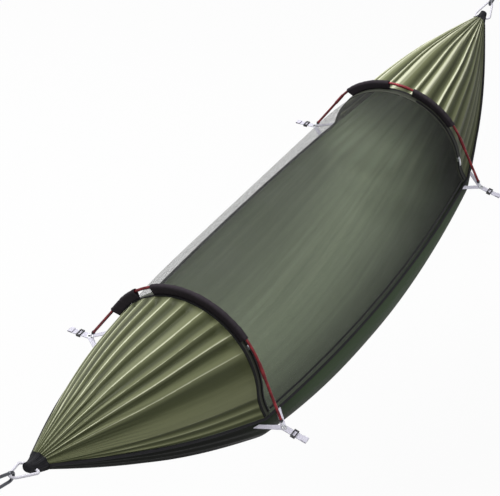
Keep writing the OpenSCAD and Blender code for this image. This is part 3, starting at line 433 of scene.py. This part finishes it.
bed_points = np.stack(np.broadcast_arrays(bed_x, -(bed_w + f) * np.cos(angle),
                                          bed_bottom + bed_h - (bed_h + f) * np.sin(angle)), -1)
# Painted light and shade on the bed's inside: lighter towards the head end, dark on the near wall and lighter
# across the floor and far wall, and darker down in the creases between crests, more so towards the ends.
bed_painted_light = 0.43 + 0.7 * smooth(0.58, 0.85, bed_x)
bed_painted_tone = 0.018 + bed_painted_light * smooth(0.24, 0.66, bed_v) + 0.045 * smooth(0.6, 0.9, bed_v)
bed_painted_tone = bed_painted_tone * (1 - 0.3 * (1 - bed_fold) * np.minimum(1, 0.15 + rise))

bed_girth = float(np.linalg.norm(np.diff(bed_points, axis=1), axis=2).sum(1).max())
bed_length = float(np.linalg.norm(np.diff(bed_points, axis=0), axis=2).mean(1).sum())
bed_outside = Finish("bed_outside", Specular_IOR_Level=0.1)
bed_inside = Finish("bed_inside", Specular_IOR_Level=0.2)
# Each side's colour runs from a painted shade colour to a painted lit colour.
for finish, shade, light in ((bed_outside, "060805", "33422c"), (bed_inside, "11180d", "c2d1b0")):
    chart = finish.place(kind="UV")
    streak = finish.noise(finish.place((48, 1.6, 1), "UV"), 1, 4)
    weave = finish.bands(chart, cloth_pitch, "X") * finish.bands(chart, cloth_pitch, "Y")
    # The inside takes the bed's painted light and shade. The outside is painted lighter in a band just below
    # each rim away from the ends, and painted darker as shade towards the bottom and under the ends.
    if finish is bed_inside:
        tone = finish.node("ShaderNodeAttribute", {"attribute_name": "fold"}, out="Fac")
    else:
        to_edge = {}
        for way, full in (("X", bed_girth), ("Y", bed_length)):
            off_middle = finish.node("ShaderNodeSeparateXYZ", {}, {0: chart}, out=way) - full / 2
            to_edge[way] = full / 2 - off_middle.math("ABSOLUTE", off_middle)
        tone = finish.ramp(to_edge["X"], 0.14, 0.02) * finish.ramp(to_edge["Y"], 0.6, 1.0)
    finish.show(Base_Color=finish.mix(tone * (0.65 + 0.7 * streak), dye(shade), dye(light)),
                Roughness=0.5 + 0.2 * streak)
    finish.bump(streak + 0.06 * weave, 0.002, 0.5)
bed = sheet_mesh("bed_cloth", bed_points, fold=bed_painted_tone)
fit(bed, bed_outside, "bed_sheet")
bed.data.materials.append(bed_inside.material)
layers = bed.modifiers.new("two_layers", "SOLIDIFY")
layers.thickness, layers.offset, layers.material_offset = bed_thick, -1, 1

# Bug net: one piece of fine dark mesh over the frame of the two arches, sewn to the bindings and
# the rims. It sags a little between the arches, and most of what is behind it shows through.
net_cloth = Finish("net_mesh", Roughness=0.75)
net_map = net_cloth.place(kind="UV")
net_pitch = 0.0017
net_threads = [net_cloth.bands(net_map, net_pitch, way) for way in "XY"]
net_cover = net_cloth.ramp(net_threads[0].math("MAXIMUM", *net_threads), 0.86, 0.99)
net_cloud = net_cloth.noise(net_cloth.place((5, 9, 1), "UV"), 1, 3)
net_cloth.show(Base_Color=net_cloth.mix(net_cloud, dye("2b2c2b"), dye("434442")),
               Alpha=0.04 + 0.9 * net_cover * (0.8 + 0.4 * net_cloud))
net_sag, net_fullness, net_seam, net_rows, net_columns = 0.004, 0.016, -0.0204, 121, 161
net_u = np.linspace(-1, 1, net_rows)[:, None]
net_v = np.linspace(0.008, 0.992, net_columns)[None, :]
y, z = edge_line(net_v)
p = on_arch(1, net_seam, y, z)
s = 1 - net_u ** 2
near_rim = np.abs(2 * net_v - 1) ** 4
stand = net_fullness * (1 - net_u ** 8) * (1 - near_rim) ** 2
net_points = np.stack(np.broadcast_arrays(
    net_u * p[:, :, 0],
    p[:, :, 1] + np.sign(p[:, :, 1]) * rim_bow * s * near_rim - stand * np.cos(math.pi * net_v),
    p[:, :, 2] - s * (net_sag + (rim_sag - net_sag) * near_rim) + stand * np.sin(math.pi * net_v)), -1)
bug_net = fit(sheet_mesh("bug_net_mesh", net_points, flip=True), net_cloth, "bug_net")


# Rim hems: the bed's, covers' and net's edges rolled together and sewn into a dark cord-like hem
# along each side, from one gather to the other.
def tube_points(path, outward, section):
    """A section (outward, sideways) carried along a path whose rings stand square to it."""
    way = np.gradient(path, axis=0)
    way /= np.linalg.norm(way, axis=1)[:, None]
    out = outward - way * (outward * way).sum(1)[:, None]
    out /= np.linalg.norm(out, axis=1)[:, None]
    side = np.cross(way, out)
    return path[:, None] + section[None, :, :1] * out[:, None] + section[None, :, 1:] * side[:, None]


def round_section(r, sides):
    """The corners of a round cord's section."""
    a = np.linspace(0, 2 * math.pi, sides, endpoint=False)
    return r * np.stack([np.cos(a), np.sin(a)], -1)


def close_ends(piece):
    """Welds a mesh where it meets itself, closes what is open, and turns every face outwards."""
    bpy.ops.object.select_all(action="DESELECT")
    bpy.context.view_layer.objects.active = piece
    piece.select_set(True)
    bpy.ops.object.mode_set(mode="EDIT")
    bpy.ops.mesh.select_all(action="SELECT")
    bpy.ops.mesh.remove_doubles(threshold=1e-6)
    bpy.ops.mesh.fill_holes(sides=0)
    bpy.ops.mesh.select_all(action="SELECT")
    bpy.ops.mesh.normals_make_consistent(inside=False)
    bpy.ops.object.mode_set(mode="OBJECT")
    piece.select_set(False)
    return piece


trim_cloth = Finish("trim_cloth", Specular_IOR_Level=0.15)
trim_map = trim_cloth.place(kind="UV")
trim_rib = trim_cloth.bands(trim_map, 0.0016, "Y")
trim_cloud = trim_cloth.noise(trim_map, 40, 3)
trim_cloth.show(Base_Color=trim_cloth.mix(trim_cloud, dye("111112"), dye("242327")),
                Roughness=0.62 + 0.2 * trim_cloud)
trim_cloth.bump(trim_rib + trim_cloud, 0.0004, 0.7)

hem_r, hem_rings = 0.004, 301
hem_x = np.linspace(-half_span, half_span, hem_rings)
hem_y, hem_z = rim_line(hem_x)
for side, sign in (("near", -1), ("far", 1)):
    path = np.stack([hem_x, sign * hem_y, hem_z], -1)
    hem = sheet_mesh(f"{side}_rim_hem_roll", tube_points(path, np.array([[0, sign, 0.3]] * hem_rings),
                                                         round_section(hem_r, 12)), loop=True)
    fit(close_ends(hem), trim_cloth, f"{side}_rim_hem")

# Edge bindings: a ribbed tape folded over each cover's arch edge, where cover, net and sleeves are
# sewn together: black on the cover's side, grey-green where it carries the zip on the net's side.
edge_tape = Finish("edge_tape", Specular_IOR_Level=0.15)
edge_map = edge_tape.place(kind="UV")
across_tape = edge_tape.node("ShaderNodeSeparateXYZ", {}, {0: edge_map}, out="X")
black_part = edge_tape.ramp(across_tape, 0.0185, 0.0195) * edge_tape.ramp(across_tape, 0.0405, 0.0395)
edge_rib = edge_tape.bands(edge_map, 0.0016, "Y")
net_side = edge_tape.mix(edge_rib, dye("34362f"), dye("45473f"))
edge_tape.show(Base_Color=edge_tape.mix(black_part, net_side, dye("131314")),
               Roughness=0.62 + 0.15 * edge_rib)
edge_tape.bump(edge_rib, 0.0003, 0.7)
binding_v = np.linspace(0.006, 0.994, 241)
y, z = edge_line(binding_v)
tape_in, tape_out, tape_half, tape_bevel = -0.020, 0.008, 0.0015, 0.0004
tape = np.array([[tape_in, tape_bevel - tape_half], [tape_in + tape_bevel, -tape_half],
                 [tape_out - tape_bevel, -tape_half], [tape_out, tape_bevel - tape_half],
                 [tape_out, tape_half - tape_bevel], [tape_out - tape_bevel, tape_half],
                 [tape_in + tape_bevel, tape_half], [tape_in, tape_half - tape_bevel]])
slope = np.gradient(np.stack([y, z], -1), axis=0)
slope /= np.linalg.norm(slope, axis=1)[:, None]
for end, sign in zip(ends, (-1, 1)):
    rings = on_arch(sign, tape[None, :, 0], y[:, None] - slope[:, 1:] * tape[None, :, 1],
                    z[:, None] + slope[:, :1] * tape[None, :, 1])
    binding = sheet_mesh(f"{end}_edge_binding_tape", rings, loop=True)
    fit(close_ends(binding), edge_tape, f"{end}_edge_binding")

# Zips: a fine black coil up each arch beside the binding and one along the near rim, where the net
# opens. The coils are the CAD's, and their teeth are in the finish.
zip_coil = Finish("zip_coil", Roughness=0.5, Specular_IOR_Level=0.12)
teeth = zip_coil.bands(zip_coil.place(), 0.0022, "DIAGONAL")
zip_coil.show(Base_Color=zip_coil.mix(teeth, dye("0c0c0e"), dye("242427")))
zip_coil.bump(teeth, 0.0005)
paint(zip_coil, "foot_arch_zip", "head_arch_zip", "rim_zip")

# Pole sleeves: a strip of charcoal cloth folded round the pole and sewn to the cover's edge with
# both layers. Bare pole shows between them.
sleeve_cloth = Finish("sleeve_cloth", Specular_IOR_Level=0.06)
sleeve_map = sleeve_cloth.place(kind="UV")
sleeve_cloud = sleeve_cloth.noise(sleeve_cloth.place((30, 90, 1), "UV"), 1, 4)
sleeve_weave = (sleeve_cloth.bands(sleeve_map, cloth_pitch, "X")
                * sleeve_cloth.bands(sleeve_map, cloth_pitch, "Y"))
sleeve_cloth.show(Base_Color=sleeve_cloth.mix(sleeve_cloud, dye("272327"), dye("3a353a")),
                  Roughness=0.65 + 0.2 * sleeve_cloud)
sleeve_cloth.bump(sleeve_cloud + 0.05 * sleeve_weave, 0.0016, 0.6)
sleeve_r, sleeve_w, sleeve_t, flap_from, flap_half = 0.0075, 0.077, 0.0007, edge_r + 0.0018, 0.0008


def sleeve(name, sign, start, stop, node):
    """A sleeve from one angle past the arch's top to another."""
    rows = max(12, int((stop - start) * pole_r / 0.004))
    a = np.linspace(start, stop, rows)[:, None]
    run = pole_r / np.cos(np.maximum(np.abs(a) - pole_leg_angle, 0))
    slack = 1 + 0.05 * np.sin(41 * a + 2) * np.sin(17 * a) + 0.03 * np.sin(90 * a)
    touch = np.arccos(sleeve_r / (run - flap_from))
    wrap = touch + (2 * math.pi - 2 * touch) * np.linspace(0, 1, 21)
    reach, n = run - sleeve_r * slack * np.cos(wrap), sleeve_r * slack * np.sin(wrap)
    share = np.array([0, 0.25, 0.5, 0.75])
    front = [flap_from + share * (reach[:, :1] - flap_from), flap_half + share * (n[:, :1] - flap_half)]
    share = share[::-1]
    back = [flap_from + share * (reach[:, -1:] - flap_from), share * (n[:, -1:] + flap_half) - flap_half]
    reach, n = np.concatenate([front[0], reach, back[0]], 1), np.concatenate([front[1], n, back[1]], 1)
    piece = sheet_mesh(name, on_arch(sign, n, reach * np.sin(a), pole_centre_z + reach * np.cos(a)))
    fit(piece, sleeve_cloth, node)
    wall = piece.modifiers.new("cloth", "SOLIDIFY")
    wall.thickness, wall.offset = sleeve_t, 0
    return piece


for name, sign, start, stop in (("foot_top", -1, -0.190 / pole_r, 0.135 / pole_r),
                                ("foot_far", -1, 0.196 / pole_r, pole_leg_angle + math.atan(0.041 / pole_r)),
                                ("head_near", 1, -0.215 / pole_r, -0.038 / pole_r),
                                ("head_far", 1, 0.052 / pole_r, 0.227 / pole_r)):
    strip = sleeve(f"{name}_sleeve_cloth", sign, start, stop, f"{name}_sleeve")

# Corner straps: pale webbing sewn to the rim in a V, with a grommet for the pole's pin, a black
# ladder buckle and the tail folded back through it.
corners = [f"{end}_{side}" for end in ends for side in ("near", "far")]
webbing = Finish("webbing", Roughness=0.7, Sheen_Weight=0.15)
web_rib = webbing.bands(webbing.place(), 0.0014, "X") * webbing.bands(webbing.place(), 0.0022, "Y")
webbing.show(Base_Color=webbing.mix(web_rib, dye("b4b2c0"), dye("e6e4ee")))
webbing.bump(web_rib, 0.0003)
web_half, web_t, tail_end, fold_r, fold_from = 0.010, 0.0018, 0.0716, 0.0015, 0.058
strap_spread, strap_droop, eye_r = 0.046, math.radians(8), 0.0065


def leg_end(x):
    """Where a sewn leg of the strap meets the hem, this far along from the pole's end."""
    return x, (float(rim_line(np.array(arch_x + x))[0]) + hem_r - half_chord) / math.cos(strap_droop)


def strap_reach(way, outlines):
    """How far the flat strap reaches from its grommet in each direction."""
    c, s, reach = np.cos(way), np.sin(way), np.full_like(way, web_half)
    for corners_of in outlines:
        for (ax, ay), (bx, by) in zip(corners_of, corners_of[1:] + corners_of[:1]):
            turn = c * (by - ay) - s * (bx - ax)
            turn = np.where(np.abs(turn) < 1e-9, np.nan, turn)
            r, k = (ax * (by - ay) - ay * (bx - ax)) / turn, (ax * s - ay * c) / turn
            reach = np.where((k >= -1e-6) & (k <= 1 + 1e-6) & (r > reach), r, reach)
    return reach


tail_plan = [(-web_half, 0), (web_half, 0), (web_half, tail_end), (-web_half, tail_end)]
leg_plans = [[leg_end(x - web_half), leg_end(x + web_half), (web_half, 0), (-web_half, 0)]
             for x in (-strap_spread, strap_spread)]
corner_step = 1e-4
turns = [math.atan2(y, x) + off for plan in (tail_plan, *leg_plans) for x, y in plan
         for off in (-corner_step, corner_step)]
way = np.sort(np.concatenate([np.linspace(-math.pi, math.pi, 160, endpoint=False), turns]))
shares = np.linspace(0, 1, 7)[:, None]
flat = eye_r + (strap_reach(way, [tail_plan, *leg_plans]) - eye_r) * shares
flat = np.stack([flat * np.cos(way), flat * np.sin(way), np.full_like(flat, web_t / 2)], -1)
strap_plate = np.concatenate([flat, (flat * [1, 1, -1])[::-1], flat[:1]])
bend = np.linspace(-math.pi / 2, math.pi / 2, 13)
fold_path = np.concatenate([
    np.stack([0 * bend, tail_end + fold_r * np.cos(bend), fold_r + fold_r * np.sin(bend)], -1),
    [[0, tail_end - k * (tail_end - fold_from) / 4, 2 * fold_r] for k in (1, 2, 3, 4)]])
strap_fold = tube_points(fold_path, np.array([[1.0, 0, 0]] * len(fold_path)),
                         np.array([[-web_half, -web_t / 2], [web_half, -web_t / 2],
                                   [web_half, web_t / 2], [-web_half, web_t / 2]]))
for corner in corners:
    x_way, y_way = (-1 if word in corner else 1 for word in ("foot", "near"))
    shells = []
    for name, local in ((f"{corner}_strap_web", strap_plate), (f"{corner}_strap_fold", strap_fold)):
        c, s = math.cos(strap_droop), math.sin(strap_droop)
        placed = np.stack([x_way * (arch_x + local[..., 0]),
                           y_way * (half_chord + local[..., 1] * c + local[..., 2] * s),
                           tip_z - local[..., 1] * s + local[..., 2] * c], -1)
        shells.append(close_ends(sheet_mesh(name, placed, loop=True)))
    bpy.ops.object.select_all(action="DESELECT")
    for shell in shells:
        shell.select_set(True)
    bpy.context.view_layer.objects.active = shells[0]
    bpy.ops.object.join()
    shells[0].data.polygons.foreach_set("use_smooth", np.zeros(len(shells[0].data.polygons), bool))
    fit(shells[0], webbing, f"{corner}_strap")

grommet_metal = Finish("grommet_metal", Metallic=1.0)
grommet_rub = grommet_metal.noise(grommet_metal.place(), 300, 4)
grommet_metal.show(Base_Color=grommet_metal.mix(grommet_rub, dye("8f9094"), dye("c6c7cb")),
                   Roughness=0.22 + 0.25 * grommet_rub)
grommet_metal.bump(grommet_rub, 0.00004)
paint(grommet_metal, *(f"{corner}_grommet" for corner in corners))

buckle_plastic = Finish("buckle_plastic")
buckle_grain = buckle_plastic.noise(buckle_plastic.place(), 1300, 2)
buckle_plastic.show(Base_Color=buckle_plastic.mix(buckle_grain, dye("121214"), dye("2a2a2e")),
                    Roughness=0.38 + 0.25 * buckle_grain)
buckle_plastic.bump(buckle_grain, 0.00006)
paint(buckle_plastic, *(f"{corner}_buckle" for corner in corners))

# End channels and loops: the gathered cloth is bound in a black channel at each end, and a pale
# cord loop runs through the channel to the carabiner.
channel_cloth = Finish("channel_cloth", Roughness=0.7, Specular_IOR_Level=0.15)
channel_cloud = channel_cloth.noise(channel_cloth.place(), 90, 4)
channel_cloth.show(Base_Color=channel_cloth.mix(channel_cloud, dye("0a0a0c"), dye("1c1c20")))
channel_cloth.bump(channel_cloud, 0.002)
hang_slope, channel_len, channel_end_share, channel_gap = math.radians(24), 0.052, 0.46, 0.001
t = np.linspace(0, 1, 31)[:, None]
a = np.linspace(0, 2 * math.pi, 180, endpoint=False)[None, :]
bunch = gather_r * (1 + (channel_end_share - 1) * t ** 0.8)
folds = 1 + (1 - t) * (0.08 * np.cos(9 * a) + 0.03 * (1 + np.cos(31 * a + 2 * np.sin(3 * a))))
along = channel_gap + channel_len * t
for end, sign in zip(ends, (-1, 1)):
    r, tilt = bunch * folds, hang_slope * t
    rings = np.stack(np.broadcast_arrays(
        sign * (half_span + along * np.cos(tilt) - r * np.cos(a) * np.sin(tilt)), r * np.sin(a),
        gather_z + along * np.sin(tilt) + r * np.cos(a) * np.cos(tilt)), -1)
    fit(close_ends(sheet_mesh(f"{end}_channel_cloth", rings, loop=True)),
        channel_cloth, f"{end}_end_channel")

loop_cord = Finish("loop_cord", Roughness=0.65)
braid_pitch = 0.0021
loop_braid = (loop_cord.bands(loop_cord.place(kind="UV"), braid_pitch, "DIAGONAL")
              * loop_cord.bands(loop_cord.place((1, -1, 1), "UV"), braid_pitch, "DIAGONAL"))
loop_cord.show(Base_Color=loop_cord.mix(loop_braid, dye("c3c1cc"), dye("f0eff4")))
loop_cord.bump(loop_braid, 0.0006)
loop_r, loop_bend_r, loop_len, tunnel_share = 0.0035, 0.011, 0.054, 0.66
tunnel = channel_gap + tunnel_share * channel_len
loop_clear = 0.0004
loop_half_w = gather_r * (1 + (channel_end_share - 1) * tunnel_share ** 0.8) + loop_clear
loop_corners = np.array([[loop_bend_r, loop_half_w], [loop_bend_r, -loop_half_w],
                         [loop_bend_r + loop_len, 0]])
belt = []
for i in range(3):
    before, here, after = (loop_corners[(i + k) % 3] for k in range(3))
    way_in, way_out = (math.atan2(*(b - a)[::-1]) for a, b in ((before, here), (here, after)))
    w = way_in - math.pi / 2 + (way_out - way_in) % (2 * math.pi) * np.linspace(0, 1, 19)
    belt.append(here + loop_bend_r * np.stack([np.cos(w), np.sin(w)], -1))
belt = np.concatenate([*belt, belt[0][:1]])
run = np.concatenate([[0], np.cumsum(np.linalg.norm(np.diff(belt, axis=0), axis=1))])
even = np.linspace(0, run[-1], 161)
path = np.stack([np.interp(even, run, belt[:, 0]), np.interp(even, run, belt[:, 1]), 0 * even], -1)
path = np.concatenate([path[-3:-1], path, path[1:3]])
cord = tube_points(path, np.array([[0, 0, 1.0]] * len(path)), round_section(loop_r, 16))[2:-2]
cord[-1] = cord[0]
for end, sign in zip(ends, (-1, 1)):
    c, s = math.cos(hang_slope), math.sin(hang_slope)
    placed = np.stack([
        sign * (half_span + tunnel * math.cos(hang_slope * tunnel_share) + cord[..., 0] * c
                - cord[..., 2] * s), cord[..., 1],
        gather_z + tunnel * math.sin(hang_slope * tunnel_share) + cord[..., 0] * s + cord[..., 2] * c], -1)
    fit(close_ends(sheet_mesh(f"{end}_loop_cord", placed, loop=True)), loop_cord,
        f"{end}_hang_loop")

# Carabiners: bent aluminium bar with a sprung gate on a riveted pin, hung in the cord loops. They stay
# as the CAD makes them and get their grey metal here.
carabiner_metal = Finish("carabiner_metal", Metallic=1.0)
carabiner_rub = carabiner_metal.noise(carabiner_metal.place((1, 1, 3)), 160, 4)
carabiner_metal.show(Base_Color=carabiner_metal.mix(carabiner_rub, dye("34353a"), dye("66686e")),
                     Roughness=0.25 + 0.25 * carabiner_rub)
carabiner_metal.bump(carabiner_rub, 0.00006)
paint(carabiner_metal, "foot_carabiner", "head_carabiner", "foot_gate", "head_gate")
paint(pin_steel, "foot_gate_pin", "head_gate_pin", "foot_gate_spring", "head_gate_spring")

# Zip sliders and pulls: bright die-cast metal, one of each on either arch's zip. They stay as the CAD
# makes them.
slider_metal = Finish("slider_metal", Metallic=1.0)
slider_rub = slider_metal.noise(slider_metal.place(), 420, 4)
slider_metal.show(Base_Color=slider_metal.mix(slider_rub, dye("a9aab0"), dye("dcdde2")),
                  Roughness=0.2 + 0.25 * slider_rub)
slider_metal.bump(slider_rub, 0.00005)
paint(slider_metal, *(f"{end}_zip_{part}" for end in ends for part in ("slider", "pull")))
